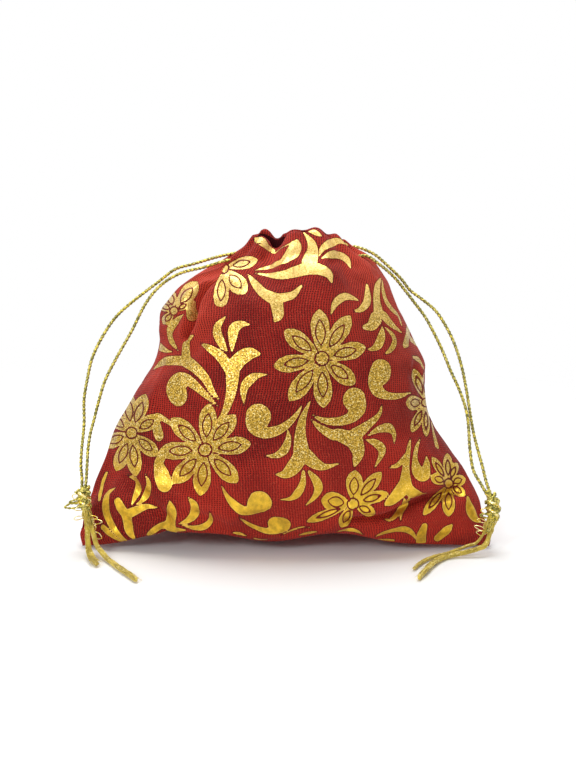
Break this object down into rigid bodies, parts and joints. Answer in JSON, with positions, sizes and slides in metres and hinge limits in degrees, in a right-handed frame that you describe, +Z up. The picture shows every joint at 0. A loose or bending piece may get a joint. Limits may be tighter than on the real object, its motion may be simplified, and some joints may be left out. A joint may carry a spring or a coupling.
{
  "type": "potli bag",
  "caption": "Small stuffed drawstring pouch of foil-printed open-weave cloth, drawn shut by knotted gold drawcords with loose tails.",
  "frame": {"origin": "middle of the pouch's footprint, on the surface it stands on", "axes": "+Z up, -Y the printed front that faces the camera, +X the viewer's right"},
  "size_m": [0.1775, 0.1137, 0.1336],
  "materials": {
    "printed_cloth": "deep red open weave with a gold foil print",
    "zari_cord": "twisted gold metallic thread",
    "zari_knot": "knotted gold thread, frayed",
    "cord_core": "matt golden yellow fibre"
  },
  "bodies": {
    "root": {"bag_body": "printed_cloth", "left_drawcord": "zari_cord", "right_drawcord": "zari_cord", "left_knot": "zari_knot", "right_knot": "zari_knot", "left_tail_short": "cord_core", "left_tail_long": "cord_core", "right_tail_long": "cord_core", "right_tail_short": "cord_core"}
  },
  "joints": []
}
